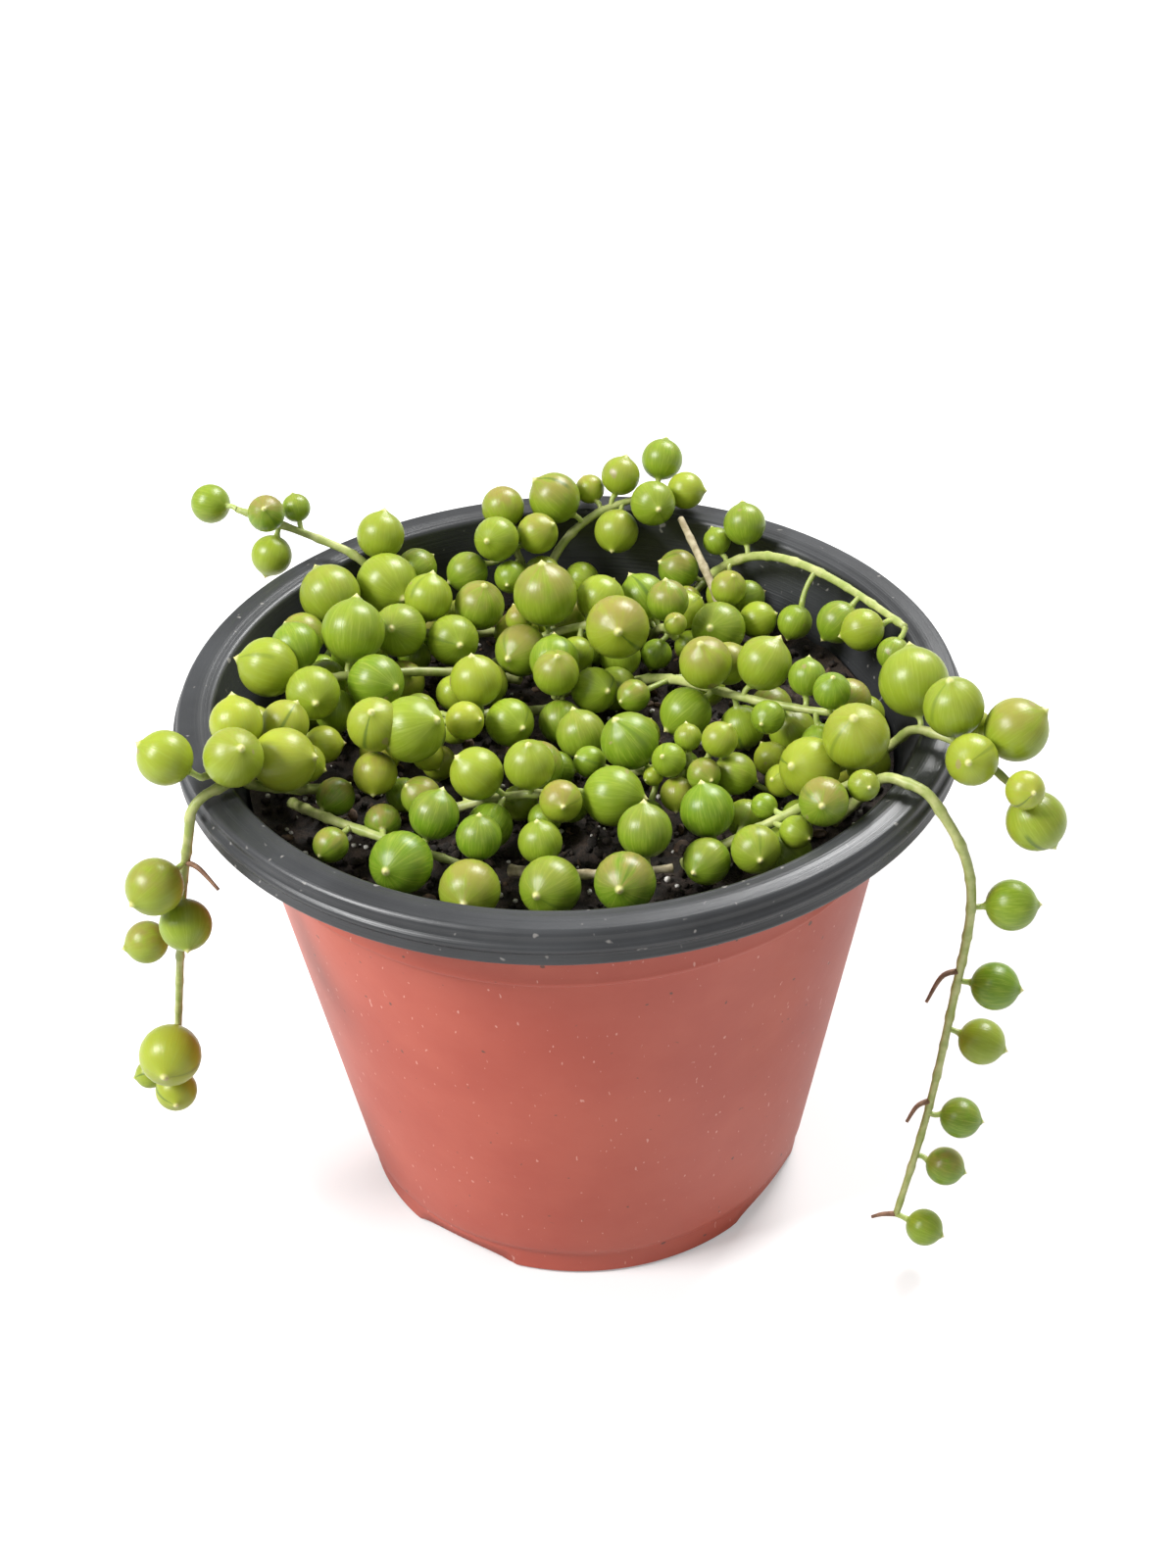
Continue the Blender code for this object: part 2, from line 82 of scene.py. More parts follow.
# Each strand: the points its stem follows, root first, and its pearls as x, y, z and diameter.
STRANDS = {
    "strand_back_left": (
        [(-19, 30, 70), (-26, 36, 77), (-31, 35, 81), (-34, 37, 83), (-37, 38, 84), (-40, 36, 85),
         (-45, 37, 86), (-48, 40, 86)],
        [(-50, 41, 86, 5.8), (-43, 34, 89, 5.4), (-40, 41, 87, 4.2), (-42, 36, 82, 6.0),
         (-28, 40, 80, 7.0), (-25, 30, 81, 9.0), (-21, 40, 77, 6.0)]),
    "strand_left_upper": (
        [(-7, 16, 70), (-16, 14, 76), (-22, 10, 77), (-29, 5, 78), (-35, 3, 80)],
        [(-36, 8, 84, 6.7), (-29, 7, 84, 8.7), (-39, -3, 83, 8.1), (-35, -8, 82, 7.3),
         (-29, -3, 80, 5.9), (-33, 7, 77, 6.0), (-21, -8, 83, 7.7), (-23, 13, 75, 6.2)]),
    "strand_left_back": (
        [(-9, 29, 70), (-14, 19, 76), (-21, 18, 77), (-27, 20, 77), (-33, 20, 77)],
        [(-22, 12, 83, 7.6), (-19, 19, 80, 6.9), (-13, 12, 83, 7.3), (-11, 24, 77, 7.2),
         (-31, 24, 79, 8.7), (-37, 20, 79, 6.3)]),
    "strand_left_middle": (
        [(-3, 8, 70), (-9, 0, 75), (-16, 0, 77), (-22, -7, 78), (-25, -11, 79)],
        [(-25, -14, 84, 7.1), (-15, -5, 78, 5.2), (-10, -2, 81, 7.1), (-6, -10, 83, 6.6),
         (-17, -18, 83, 8.7), (-22, -19, 78, 5.8)]),
    "strand_left_rim": (
        [(-32, 5, 70), (-37, -7, 76), (-40, -16, 80), (-43, -21, 83), (-45, -24, 84)],
        [(-42, -15, 85, 6.9), (-40, -9, 80, 5.8), (-47, -24, 85, 7.0), (-40, -23, 83, 7.6),
         (-35, -14, 80, 6.3), (-27, -10, 77, 5.1), (-30, -23, 81, 8.3), (-34, -13, 74, 5.2)]),
    "strand_left_trail": (
        [(-33, -9, 70), (-39, -18, 77), (-42, -25, 82), (-46, -29, 83), (-49, -29, 79),
         (-50, -27, 72), (-51, -24, 65), (-53, -21, 55), (-54, -19, 46), (-56, -18, 39),
         (-57, -19, 30)],
        [(-53, -30, 71, 7.4), (-50, -29, 64, 6.8), (-57, -24, 57, 5.7), (-56, -24, 38, 8.5),
         (-57, -22, 30, 5.8), (-62, -21, 30, 4.1)]),
    "strand_front_left": (
        [(-37, -12, 70), (-37, -18, 77), (-34, -24, 77), (-25, -25, 74), (-17, -28, 73),
         (-12, -30, 72)],
        [(-24, -19, 73, 4.8), (-22, -34, 76, 8.0), (-17, -25, 78, 6.4), (-12, -32, 79, 5.8),
         (-13, -37, 75, 7.7), (-31, -27, 74, 4.6)]),
    "strand_front_middle": (
        [(-20, -17, 71), (-16, -18, 75), (-12, -18, 78), (-5, -20, 78), (0, -21, 77)],
        [(-10, -21, 82, 6.9), (-11, -23, 75, 6.0), (-6, -22, 85, 6.5), (-1, -27, 83, 5.5),
         (3, -23, 78, 7.8), (-3, -12, 80, 6.6)]),
    "strand_front_low": (
        [(-8, -28, 70), (-3, -34, 73), (3, -35, 73), (10, -36, 74), (13, -35, 75)],
        [(-4, -30, 76, 5.6), (-5, -40, 76, 7.7), (6, -40, 77, 7.6), (9, -33, 78, 6.8)]),
    "strand_front_right": (
        [(14, -28, 70), (17, -33, 75), (20, -33, 77), (27, -29, 79), (33, -27, 80), (37, -26, 82)],
        [(17, -38, 76, 6.0), (23, -36, 76, 6.2), (24, -31, 75, 6.6), (28, -35, 76, 4.2),
         (32, -31, 79, 6.2), (17, -27, 78, 6.9), (23, -24, 77, 3.4), (36, -30, 83, 4.0)]),
    "strand_centre": (
        [(-11, 20, 70), (-7, 20, 77), (-2, 19, 80), (3, 17, 81), (7, 15, 80)],
        [(-6, 14, 77, 7.4), (-7, 27, 79, 4.0), (-13, 33, 79, 6.6), (-3, 25, 83, 9.0),
         (-1, 36, 78, 7.2), (5, 25, 80, 6.9), (7, 6, 84, 8.8)]),
    "strand_centre_right": (
        [(8, 14, 70), (12, 10, 76), (16, 2, 79), (23, -7, 79), (30, -11, 80), (34, -11, 81)],
        [(18, -2, 85, 7.1), (24, 5, 80, 5.9), (26, -3, 83, 7.3), (14, -5, 76, 7.0),
         (31, -7, 83, 5.0), (34, -12, 85, 4.9), (38, -6, 80, 6.0), (24, -15, 82, 4.5),
         (33, -12, 76, 5.6)]),
    "strand_centre_low": (
        [(2, 16, 70), (6, 12, 73), (8, 8, 74), (3, 5, 74), (-2, 4, 75)],
        [(0, 2, 79, 6.3), (7, 2, 75, 6.4), (-2, 8, 78, 6.9), (2, -4, 74, 6.0),
         (13, 10, 76, 6.2)]),
    "strand_centre_back": (
        [(12, 27, 70), (14, 26, 75), (15, 22, 79), (15, 16, 80), (15, 12, 79)],
        [(15, 10, 83, 3.2), (14, 16, 84, 5.9), (12, 29, 82, 6.8), (19, 25, 79, 5.6),
         (8, 33, 76, 6.0)]),
    "strand_middle_small": (
        [(3, -8, 70), (7, -14, 75), (13, -19, 77), (17, -17, 78)],
        [(8, -15, 81, 7.6), (8, -23, 82, 2.6), (12, -22, 81, 4.5), (16, -23, 82, 4.4),
         (14, -17, 82, 3.6), (19, -18, 82, 4.7), (12, -24, 76, 4.6), (23, -18, 76, 5.6)]),
    "strand_back_rim": (
        [(-4, 38, 70), (-3, 43, 79), (0, 45, 82), (4, 46, 83), (10, 46, 83), (14, 47, 83)],
        [(-2, 51, 85, 7.7), (3, 50, 84, 4.4), (7, 51, 85, 5.8), (15, 50, 86, 6.2),
         (8, 40, 80, 6.6), (14, 38, 82, 6.7), (15, 44, 79, 5.6)]),
    "strand_back_middle": (
        [(-5, 40, 70), (-6, 39, 77), (-8, 40, 80)],
        [(-9, 44, 82, 6.4), (-9, 34, 83, 6.6), (-4, 38, 82, 6.1), (1, 42, 76, 5.6)]),
    "strand_back_right": (
        [(19, 38, 70), (22, 40, 78), (28, 34, 82), (33, 27, 83), (38, 20, 83), (43, 13, 83),
         (46, 6, 83)],
        [(22, 42, 83, 4.1), (26, 38, 84, 6.2), (17, 37, 75, 6.0), (24, 35, 76, 6.4),
         (38, 13, 80, 6.0), (41, 6, 81, 5.9), (40, 1, 77, 4.6)]),
    "strand_old_stem": (
        [(25, 18, 70), (24, 22, 75), (21, 29, 79), (18, 36, 81), (17, 40, 82)],
        [(21, 17, 80, 7.7), (27, 25, 80, 5.1), (31, 26, 79, 5.1), (29, 19, 79, 5.4),
         (29, 13, 77, 5.6)]),
    "strand_right": (
        [(27, -13, 70), (32, -17, 76), (37, -19, 79)],
        [(27, -24, 82, 7.9), (36, -22, 85, 8.5), (40, -14, 76, 6.0)]),
    "strand_right_rim": (
        [(38, -10, 71), (42, -12, 78), (45, -15, 84), (47, -17, 86), (50, -19, 86), (52, -23, 86),
         (54, -25, 83), (55, -27, 80)],
        [(44, -8, 88, 9.1), (53, -17, 90, 7.7), (55, -11, 91, 2.4), (57, -12, 93, 3.7),
         (57, -21, 88, 8.1), (56, -31, 82, 4.9), (49, -27, 87, 6.6), (58, -29, 76, 7.6)]),
    "strand_right_trail": (
        [(34, -20, 70), (37, -25, 78), (41, -28, 83), (45, -31, 84), (48, -33, 82), (51, -34, 75),
         (52, -32, 68), (51, -30, 59), (50, -27, 50), (50, -26, 38), (49, -25, 25), (47, -27, 15),
         (44, -30, 7)],
        [(56, -31, 64, 6.6), (54, -29, 49, 6.4), (54, -28, 38, 6.3), (52, -27, 23, 5.7),
         (51, -29, 15, 5.4), (48, -32, 6, 5.2)]),
}

# Looks
SKIN_SEGMENTS = 192
SOIL_EDGE = 44.0
SCRATCH_DENSITY = 4200
SCRATCH_RUN = 1.5
LATITUDES = 16
LONGITUDES = 24
LOWEST_LATITUDE = -80
LATITUDE_SPAN = 165
STALK_ROWS = 5
TIP_START = 0.93
TIP_RISE = 0.15
TIP_NARROWING = 0.35
OLD_STEMS = ("strand_old_stem", "strand_front_low")
YELLOW_STRANDS = {
    "strand_right_rim": 0.62, "strand_right": 0.75, "strand_left_rim": 0.50, "strand_left_trail": 0.55,
    "strand_left_middle": 0.55, "strand_back_rim": 0.35, "strand_right_trail": 0.18, "strand_front_low": 0.12,
    "strand_front_right": 0.15, "strand_front_left": 0.20, "strand_centre_low": 0.18,
}
GRAIN_LIFT = 0.35
LOW_LEAVES = 60
LOW_LEAF_TRIES = 6000
LOW_LEAF_RADIUS = (2.1, 3.4)
LOW_LEAF_REACH = 6.0
FLOOR_SIZE = 6.0
FLOOR_DROP = 0.0002
FLOOR_COLOUR = (0.64, 0.64, 0.64)
FLOOR_LIFT = 0.27
WORLD_LEVEL = 0.46
LAMPS = (
    ("key", (-0.62, -0.25, 0.70), 0.30, 11.0),
    ("top", (0.35, 0.50, 0.75), 0.35, 10.0),
)
LENS = 51.56
CAMERA_DISTANCE = 0.312
CAMERA_ELEVATION = 36.03
CAMERA_ROLL = 2.02
CAMERA_SIDE = 0.0022
CAMERA_AIM_Z = 0.0629


def outer_radius(z):
    """Outside of the pot's tapered wall, between its two step lines."""
    return FOOT_RADIUS + (STEP_RADIUS - FOOT_RADIUS) * (z - FOOT_Z) / (STEP_Z - FOOT_Z)


def inner_radius(z):
    return outer_radius(z) - WALL


def smooth_route(points, spacing):
    """Even samples along a Catmull-Rom curve through the points."""
    ctrl = np.array([points[0]] + list(points) + [points[-1]], float)
    dense = []
    for k in range(1, len(ctrl) - 2):
        a, b, c, d = ctrl[k - 1:k + 3]
        for t in np.linspace(0, 1, CURVE_STEPS, endpoint=False):
            dense.append(0.5 * (2 * b + (c - a) * t + (2 * a - 5 * b + 4 * c - d) * t * t
                                + (3 * b - a - 3 * c + d) * t ** 3))
    dense.append(ctrl[-1])
    dense = np.array(dense)
    steps = np.linalg.norm(np.diff(dense, axis=0), axis=1)
    run = np.concatenate([[0], np.cumsum(steps)])
    count = max(3, int(round(run[-1] / spacing)) + 1)
    even = np.linspace(0, run[-1], count)
    return np.stack([np.interp(even, run, dense[:, k]) for k in range(3)], axis=1)


def pot_walls():
    """The pot's section as thick lines: ends as (radius, height) and half thickness."""
    rim_inner = RIM_RADIUS - RIM_BAND
    return [
        ((FOOT_RADIUS - 1.3, 0.5), (FOOT_RADIUS - 0.5, FOOT_Z), 0.8),
        ((FOOT_RADIUS - 0.5, FOOT_Z), (STEP_RADIUS - 0.5, STEP_Z), 0.65),
        ((STEP_RADIUS - 0.2, STEP_Z), (rim_inner + 0.4, POT_HEIGHT - 2.2), 1.1),
        ((rim_inner + 1.0, POT_HEIGHT - 1.6), (RIM_RADIUS - 1.2, POT_HEIGHT - 1.6), 1.75),
        ((RIM_RADIUS - 0.4, POT_HEIGHT - 1.4), (RIM_RADIUS - 0.2, POT_HEIGHT - LIP_DROP + 0.6), 1.1),
    ]


def keep_off_pot(centres, radii):
    for start, end, thick in pot_walls():
        start = np.array(start)
        along = np.array(end) - start
        flat = np.hypot(centres[:, 0], centres[:, 1])
        here = np.stack([flat, centres[:, 2]], axis=1)
        t = np.clip(((here - start) @ along) / (along @ along), 0, 1)
        away = here - (start + t[:, None] * along)
        distance = np.maximum(np.linalg.norm(away, axis=1), 1e-6)
        push = np.maximum(radii + thick + GAP - distance, 0)
        move = away / distance[:, None] * push[:, None]
        centres[:, 0] += move[:, 0] * centres[:, 0] / flat
        centres[:, 1] += move[:, 0] * centres[:, 1] / flat
        centres[:, 2] += move[:, 1]


def settle():
    """Moves stems and pearls just far enough apart that no strand touches another, pot or soil."""
    centres, radii, owner, kind, anchor = [], [], [], [], []
    spans = []
    for number, (route, pearls) in enumerate(STRANDS.values()):
        samples = smooth_route(route, SAMPLE)
        first = len(centres)
        centres += list(samples)
        radii += [STEM_RADIUS] * len(samples)
        owner += [number] * len(samples)
        kind += [0] * len(samples)
        anchor += [-1] * len(samples)
        spans.append((first, first + len(samples)))
        for x, y, z, width in pearls:
            place = np.array([x, y, z], float)
            near = int(np.argmin(np.linalg.norm(samples[1:] - place, axis=1))) + 1
            centres.append(place)
            radii.append(width / 2)
            owner.append(number)
            kind.append(1)
            anchor.append(first + near)
    centres = np.array(centres)
    radii = np.array(radii)
    owner = np.array(owner)
    kind = np.array(kind)
    anchor = np.array(anchor)
    home = centres.copy()
    pearl = np.flatnonzero(kind == 1)
    index = np.arange(len(centres))
    same = owner[:, None] == owner[None, :]
    both_stem = (kind[:, None] == 0) & (kind[None, :] == 0)
    skip = (same & both_stem) | (index[:, None] == index[None, :])
    for p in pearl:
        near = np.abs(index - anchor[p]) <= 1
        skip[p, near] = True
        skip[near, p] = True
    reach = radii[:, None] + radii[None, :] + GAP
    reach[skip] = 0.0
    for turn in range(SETTLE_ROUNDS):
        if turn < SETTLE_ROUNDS // 2:
            centres += HOME_PULL * (home - centres)
        gap = centres[:, None, :] - centres[None, :, :]
        distance = np.maximum(np.linalg.norm(gap, axis=2), 1e-6)
        push = np.maximum(reach - distance, 0) * 0.5
        moves = (gap / distance[:, :, None] * push[:, :, None]).sum(axis=1)
        centres += np.clip(moves, -LONGEST_PUSH, LONGEST_PUSH)
        pull = centres[pearl] - centres[anchor[pearl]]
        length = np.maximum(np.linalg.norm(pull, axis=1), 1e-6)
        wanted = radii[pearl] + STALK_LENGTH + STEM_RADIUS
        stretch = np.clip(wanted - length, -1.0, 1.0) * STALK_PULL
        change = (pull / length[:, None]) * stretch[:, None]
        centres[pearl] += change
        for first, last in spans:
            middle = 0.5 * (centres[first:last - 2] + centres[first + 2:last])
            centres[first + 1:last - 1] += STEM_SMOOTHING * (middle - centres[first + 1:last - 1])
            centres[first, 2] = SOIL_TOP + ROOT_LIFT
        keep_off_pot(centres, radii)
        inside = np.hypot(centres[:, 0], centres[:, 1]) < STEP_RADIUS
        lowest = np.where(inside, SOIL_TOP, SURFACE_GAP) + radii + SURFACE_GAP
        centres[:, 2] = np.maximum(centres[:, 2], lowest)
    settled = {}
    for number, name in enumerate(STRANDS):
        first, last = spans[number]
        count = len(STRANDS[name][1])
        leaves = [(centres[last + k], float(radii[last + k]), anchor[last + k] - first)
                  for k in range(count)]
        settled[name] = (centres[first:last], leaves)
    return settled


def swept(rings, tip=None):
    """Closed skin over rings of equal count, capped flat or drawn to a tip at the far end."""
    sides = len(rings[0])
    vertices = [point for one in rings for point in one]
    faces = [tuple(reversed(range(sides)))]
    for row in range(len(rings) - 1):
        low = row * sides
        high = low + sides
        for k in range(sides):
            after = (k + 1) % sides
            faces.append((low + k, low + after, high + after, high + k))
    top = (len(rings) - 1) * sides
    if tip is None:
        faces.append(tuple(top + k for k in range(sides)))
    else:
        vertices.append(tip)
        for k in range(sides):
            faces.append((top + k, top + (k + 1) % sides, len(vertices) - 1))
    return vertices, faces


# ---------------------------------------------------------------- node helpers
def new_material(name):
    made = bpy.data.materials.new(name)
    made.use_nodes = True
    return made, made.node_tree, made.node_tree.nodes["Principled BSDF"]


def node(tree, kind, **settings):
    made = tree.nodes.new(kind)
    for key, value in settings.items():
        setattr(made, key, value)
    return made


def noise(tree, vector, scale, detail=4.0, rough=0.55):
    made = node(tree, "ShaderNodeTexNoise")
    made.inputs["Scale"].default_value = scale
    made.inputs["Detail"].default_value = detail
    made.inputs["Roughness"].default_value = rough
    tree.links.new(vector, made.inputs["Vector"])
    return made.outputs["Fac"]


def span(tree, value, low, high):
    """0 below low, 1 above high, smooth between."""
    made = node(tree, "ShaderNodeMapRange", interpolation_type="SMOOTHSTEP")
    made.inputs["From Min"].default_value = low
    made.inputs["From Max"].default_value = high
    tree.links.new(value, made.inputs["Value"])
    return made.outputs["Result"]


def times(tree, first, second):
    made = node(tree, "ShaderNodeMath", operation="MULTIPLY")
    for socket, value in zip(made.inputs, (first, second)):
        if isinstance(value, float):
            socket.default_value = value
        else:
            tree.links.new(value, socket)
    return made.outputs[0]


def blend(tree, factor, first, second):
    made = node(tree, "ShaderNodeMix", data_type="RGBA")
    tree.links.new(factor, made.inputs["Factor"])
    for socket, value in ((made.inputs[6], first), (made.inputs[7], second)):
        if isinstance(value, tuple):
            socket.default_value = (*value, 1.0)
        else:
            tree.links.new(value, socket)
    return made.outputs[2]


def bump(tree, shader, height, strength, distance):
    made = node(tree, "ShaderNodeBump")
    made.inputs["Strength"].default_value = strength
    made.inputs["Distance"].default_value = distance
    tree.links.new(height, made.inputs["Height"])
    tree.links.new(made.outputs["Normal"], shader.inputs["Normal"])


def object_coords(tree, stretch=(1.0, 1.0, 1.0)):
    coords = node(tree, "ShaderNodeTexCoord")
    mapping = node(tree, "ShaderNodeMapping")
    mapping.inputs["Scale"].default_value = stretch
    tree.links.new(coords.outputs["Object"], mapping.inputs["Vector"])
    return mapping.outputs["Vector"]


def attribute(tree, name, output):
    return node(tree, "ShaderNodeAttribute", attribute_name=name).outputs[output]


# ---------------------------------------------------------------- materials
def red_plastic():
    made, tree, shader = new_material("red_plastic")
    here = object_coords(tree)
    cloud = span(tree, noise(tree, here, 45.0), 0.3, 0.7)
    colour = blend(tree, cloud, (0.425, 0.080, 0.051), (0.485, 0.106, 0.068))
    pale = span(tree, noise(tree, object_coords(tree, (1.0, 1.0, 0.45)), 1500.0, 1.0), 0.725, 0.775)
    colour = blend(tree, times(tree, pale, 0.7), colour, (0.70, 0.36, 0.30))
    dark = span(tree, noise(tree, here, 620.0, 1.0), 0.745, 0.78)
    colour = blend(tree, dark, colour, (0.16, 0.07, 0.05))
    tree.links.new(colour, shader.inputs["Base Color"])
    shader.inputs["Roughness"].default_value = 0.42
    shader.inputs["Specular IOR Level"].default_value = 0.36
    bump(tree, shader, noise(tree, here, 260.0), 0.12, 0.0004)
    return made


def black_plastic():
    made, tree, shader = new_material("black_plastic")
    here = object_coords(tree)
    dust = span(tree, noise(tree, here, 700.0, 1.0), 0.71, 0.77)
    cloud = span(tree, noise(tree, here, 60.0), 0.3, 0.7)
    colour = blend(tree, cloud, (0.024, 0.025, 0.027), (0.040, 0.042, 0.045))
    colour = blend(tree, dust, colour, (0.20, 0.19, 0.18))
    tree.links.new(colour, shader.inputs["Base Color"])
    shader.inputs["Roughness"].default_value = 0.36
    round_scratch = noise(tree, attribute(tree, "rings", "Vector"), 1.0, 3.0)
    bump(tree, shader, round_scratch, 0.22, 0.0003)
    return made


def soil_material():
    made, tree, shader = new_material("damp_soil")
    here = object_coords(tree)
    crumbs = noise(tree, here, 420.0, 6.0, 0.7)
    colour = blend(tree, span(tree, crumbs, 0.35, 0.75), (0.010, 0.007, 0.005), (0.055, 0.034, 0.022))
    tree.links.new(colour, shader.inputs["Base Color"])
    shader.inputs["Roughness"].default_value = 0.85
    bump(tree, shader, crumbs, 0.9, 0.0012)
    return made


def plain_grain(name, low, high, scale, roughness):
    made, tree, shader = new_material(name)
    here = object_coords(tree)
    grain = noise(tree, here, scale)
    tree.links.new(blend(tree, span(tree, grain, 0.35, 0.7), low, high), shader.inputs["Base Color"])
    shader.inputs["Roughness"].default_value = roughness
    bump(tree, shader, grain, 0.5, 0.0003)
    return made


def leaf_material():
    """Green leaf skin: tint runs to yellow, blush to purple-brown on the sunny side, and a window slit."""
    made, tree, shader = new_material("pearl_leaf_skin")
    skin = attribute(tree, "skin", "Vector")
    tint = attribute(tree, "tint", "Fac")
    blush = attribute(tree, "blush", "Fac")
    mapping = node(tree, "ShaderNodeMapping")
    mapping.inputs["Scale"].default_value = (9.0, 9.0, 0.8)
    tree.links.new(skin, mapping.inputs["Vector"])
    stripes = noise(tree, mapping.outputs["Vector"], 1.6, 5.0, 0.6)
    colour = blend(tree, tint, (0.125, 0.235, 0.008), (0.400, 0.430, 0.034))
    colour = blend(tree, times(tree, span(tree, stripes, 0.42, 0.7), 0.55), colour, (0.33, 0.42, 0.050))
    geometry = node(tree, "ShaderNodeNewGeometry")
    split = node(tree, "ShaderNodeSeparateXYZ")
    tree.links.new(geometry.outputs["Normal"], split.inputs[0])
    sunny = span(tree, split.outputs[2], -0.1, 0.95)
    mottled = times(tree, sunny, span(tree, noise(tree, skin, 1.7), 0.25, 0.6))
    colour = blend(tree, times(tree, mottled, blush), colour, (0.290, 0.215, 0.062))
    local = node(tree, "ShaderNodeSeparateXYZ")
    tree.links.new(skin, local.inputs[0])
    slit = times(tree, span(tree, local.outputs[0], 0.982, 0.997), span(tree, local.outputs[2], -0.15, 0.15))
    slit = times(tree, slit, attribute(tree, "slit", "Fac"))
    colour = blend(tree, slit, colour, (0.075, 0.135, 0.018))
    tip = span(tree, local.outputs[2], 1.03, 1.12)
    colour = blend(tree, tip, colour, (0.62, 0.60, 0.25))
    stalk = span(tree, times(tree, local.outputs[2], -1.0), 0.93, 1.1)
    colour = blend(tree, stalk, colour, (0.36, 0.42, 0.12))
    scars = span(tree, noise(tree, object_coords(tree), 330.0, 1.0), 0.745, 0.775)
    colour = blend(tree, times(tree, scars, 0.7), colour, (0.32, 0.25, 0.12))
    tree.links.new(colour, shader.inputs["Base Color"])
    shader.inputs["Roughness"].default_value = 0.33
    shader.inputs["Specular IOR Level"].default_value = 0.42
    shader.inputs["Subsurface Weight"].default_value = 0.18
    shader.inputs["Subsurface Radius"].default_value = (0.5, 1.0, 0.15)
    shader.inputs["Subsurface Scale"].default_value = 0.002
    bump(tree, shader, stripes, 0.16, 0.0003)
    return made


# ---------------------------------------------------------------- meshes
def add_piece(name, vertices, faces, surface, stands_for):
    mesh = bpy.data.meshes.new(name)
    mesh.from_pydata([tuple(c * MM for c in v) for v in vertices], [], faces)
    mesh.shade_smooth()
    mesh.materials.append(surface)
    made = bpy.data.objects.new(name, mesh)
    bpy.context.scene.collection.objects.link(made)
    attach(made, "root")
    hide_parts(stands_for)
    return made


def turned(profile, segments):
    """Open turned skin from (radius, height) points."""
    vertices = []
    faces = []
    for radius, height in profile:
        for k in range(segments):
            angle = math.tau * k / segments
            vertices.append((radius * math.cos(angle), radius * math.sin(angle), height))
    for row in range(len(profile) - 1):
        low = row * segments
        high = low + segments
        for k in range(segments):
            after = (k + 1) % segments
            faces.append((low + k, low + after, high + after, high + k))
    return vertices, faces


def mark_rings(made):
    """Gives the black skin coordinates that run round the rim, for circular scratches."""
    mesh = made.data
    rings = mesh.attributes.new("rings", "FLOAT_VECTOR", "POINT")
    for k, vertex in enumerate(mesh.vertices):
        x, y, z = vertex.co
        angle = math.atan2(y, x)
        across = math.hypot(x, y) * SCRATCH_DENSITY
        up = z * SCRATCH_DENSITY
        rings.data[k].vector = (across, up, math.cos(angle) * SCRATCH_RUN)


def arc(centre, radius, start, end, count):
    made = []
    for k in range(count + 1):
        angle = math.radians(start + (end - start) * k / count)
        made.append((centre[0] + radius * math.cos(angle), centre[1] + radius * math.sin(angle)))
    return made


def make_pot():
    rim_inner = RIM_RADIUS - RIM_BAND
    top = POT_HEIGHT
    neck = STEP_RADIUS + SHOULDER
    foot = FOOT_RADIUS - SHOULDER
    wall = [(outer_radius(FOOT_Z + 1.0 + (STEP_Z - FOOT_Z - 2.2) * k / 24),
             FOOT_Z + 1.0 + (STEP_Z - FOOT_Z - 2.2) * k / 24) for k in range(25)]
    outside = [(0.0, 0.0), (BASE_DISC_RADIUS, 0.0), (BASE_DISC_RADIUS + 1.0, BASE_RISE),
               (foot - FOOT_RING - 0.6, BASE_RISE), (foot - FOOT_RING, 0.05)]
    outside += arc((foot - 0.5, 0.55), 0.5, -90, 0, 5)
    outside += [(foot, FOOT_Z - 1.3), (foot + 0.1, FOOT_Z - 0.7), (foot + 0.45, FOOT_Z - 0.2),
                (FOOT_RADIUS - 0.05, FOOT_Z + 0.2)]
    outside += wall
    outside += [(STEP_RADIUS - 0.1, STEP_Z - 0.5), (STEP_RADIUS + 0.1, STEP_Z - 0.1), (neck, STEP_Z + 0.1),
                (neck + 0.4, STEP_Z + 0.5), (neck + 0.45, STEP_Z + 1.0), (neck + 0.3, STEP_Z + 1.6),
                (rim_inner + 0.2, top - 4.2)]
    vertices, faces = turned(outside, SKIN_SEGMENTS)
    red = add_piece("pot_red_skin", vertices, faces, red_plastic(), "pot")
    lift_notches(red)
    lip = [(rim_inner + 0.2, top - 4.2), (rim_inner + 0.8, top - 3.2), (RIM_RADIUS - 1.3, top - 3.3),
           (RIM_RADIUS - 0.9, top - LIP_DROP)]
    lip += arc((RIM_RADIUS - 0.15, top - LIP_DROP + 0.25), 0.6, -120, 10, 8)
    lip += [(RIM_RADIUS + 0.2, top - 3.55)]
    lip += arc((RIM_RADIUS - 0.05, top - 2.5), 0.65, -60, 60, 8)
    lip += [(RIM_RADIUS - 0.05, top - 1.6)]
    lip += arc((RIM_RADIUS - 1.0, top - 1.05), 0.95, -10, 85, 8)
    lip += [(RIM_RADIUS - 1.6, top - 0.22), (RIM_RADIUS - 2.1, top - 0.02), (RIM_RADIUS - 3.4, top - 0.12)]
    lip += arc((rim_inner + 0.9, top - 1.25), 0.9, 80, 180, 8)
    lip += [(neck - WALL + 0.2, STEP_Z + 0.6), (STEP_RADIUS - WALL, STEP_Z - 0.6),
            (inner_radius(FOOT_Z), FOOT_Z), (foot - WALL, BASE_RISE + WALL), (0.0, BASE_RISE + WALL)]
    vertices, faces = turned(lip, SKIN_SEGMENTS)
    black = add_piece("pot_black_skin", vertices, faces, black_plastic(), "pot")
    mark_rings(black)


